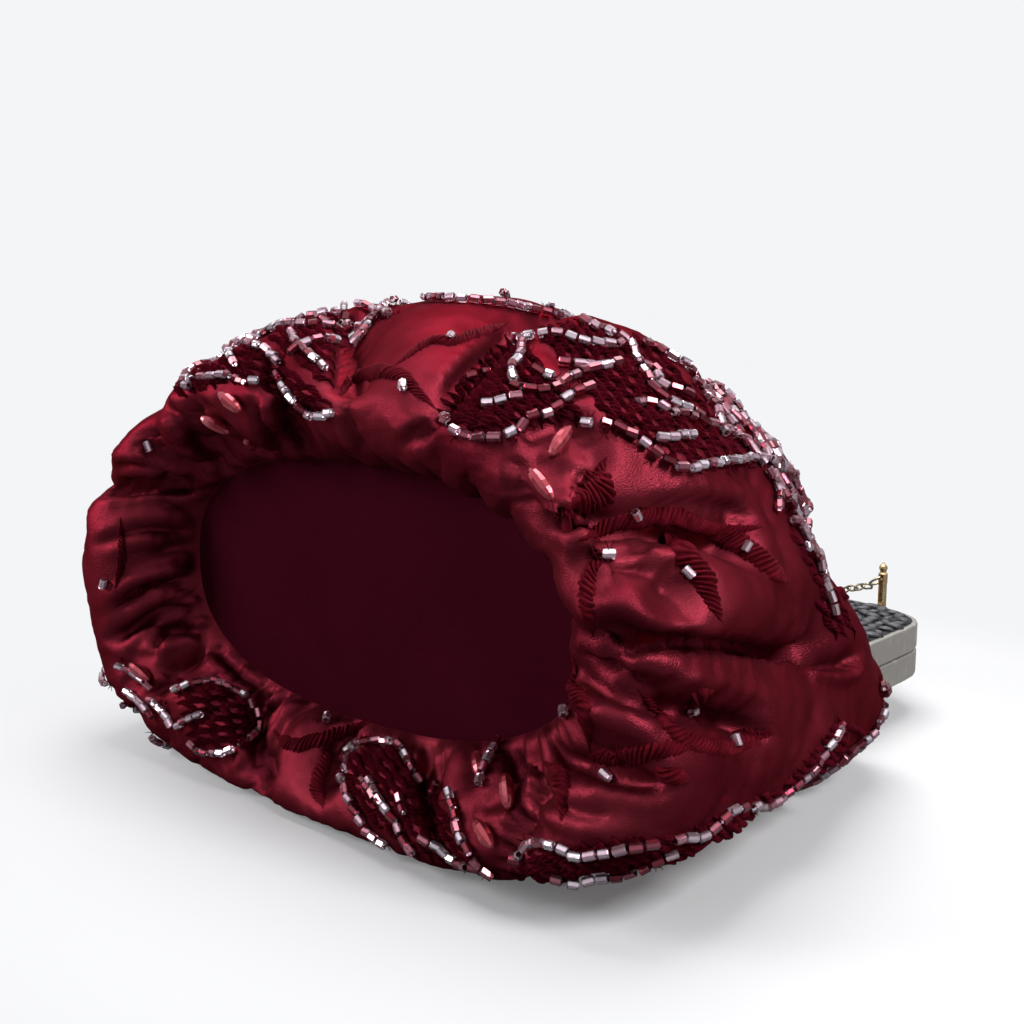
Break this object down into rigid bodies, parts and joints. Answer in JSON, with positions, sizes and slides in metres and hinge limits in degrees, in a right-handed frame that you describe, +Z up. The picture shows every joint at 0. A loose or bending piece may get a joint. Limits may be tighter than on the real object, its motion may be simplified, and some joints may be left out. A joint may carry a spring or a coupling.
{
  "type": "beaded evening bag",
  "caption": "Small gathered satin evening bag with an oval base, bead and pearl trim, a hinged ornamental snap frame with clasp knobs and a short carry chain.",
  "frame": {"origin": "middle of the footprint on the table, with the bag lying on its back; the chain is not counted", "axes": "+X along the bag's length, +Y from the base panel to the snap frame, +Z up through its thickness"},
  "size_m": [0.187, 0.2554, 0.1125],
  "materials": {
    "wine_satin": "gathered wine satin with tone-on-tone embroidery",
    "lining_satin": "thin satin",
    "panel_cloth": "smooth matte cloth",
    "board_card": "stiff board",
    "satin_pewter": "warm satin plate",
    "aged_silver": "cast relief with darkened recesses",
    "pale_gilt": "polished pale gilt",
    "aged_brass": "aged brass wire",
    "rose_pearl": "rose pearl lustre"
  },
  "bodies": {
    "back_half": {"satin_body": "wine_satin", "satin_lining": "lining_satin", "base_panel": "panel_cloth", "base_board": "board_card", "back_frame": "satin_pewter", "left_hinge_rivet": "satin_pewter", "right_hinge_rivet": "satin_pewter", "back_ornament": "aged_silver", "back_satin_panel": "wine_satin", "back_clasp_knob": "pale_gilt", "left_strap_post": "pale_gilt", "right_strap_post": "pale_gilt", "left_post_ring": "aged_brass", "right_post_ring": "aged_brass", "carry_chain": "aged_brass", "rice_pearl_01": "rose_pearl", "rice_pearl_02": "rose_pearl", "rice_pearl_03": "rose_pearl", "rice_pearl_04": "rose_pearl", "rice_pearl_05": "rose_pearl", "rice_pearl_06": "rose_pearl", "rice_pearl_07": "rose_pearl", "rice_pearl_08": "rose_pearl", "rice_pearl_09": "rose_pearl"},
    "front_half": {"front_frame": "satin_pewter", "front_ornament": "aged_silver", "front_satin_panel": "wine_satin", "front_clasp_knob": "pale_gilt"}
  },
  "joints": [
    {"name": "frame_hinge", "type": "hinge", "parent": "back_half", "child": "front_half", "pos_m": [0, 0.02995, 0.0185], "axis": [1, 0, 0], "range_deg": [0, 60]}
  ]
}
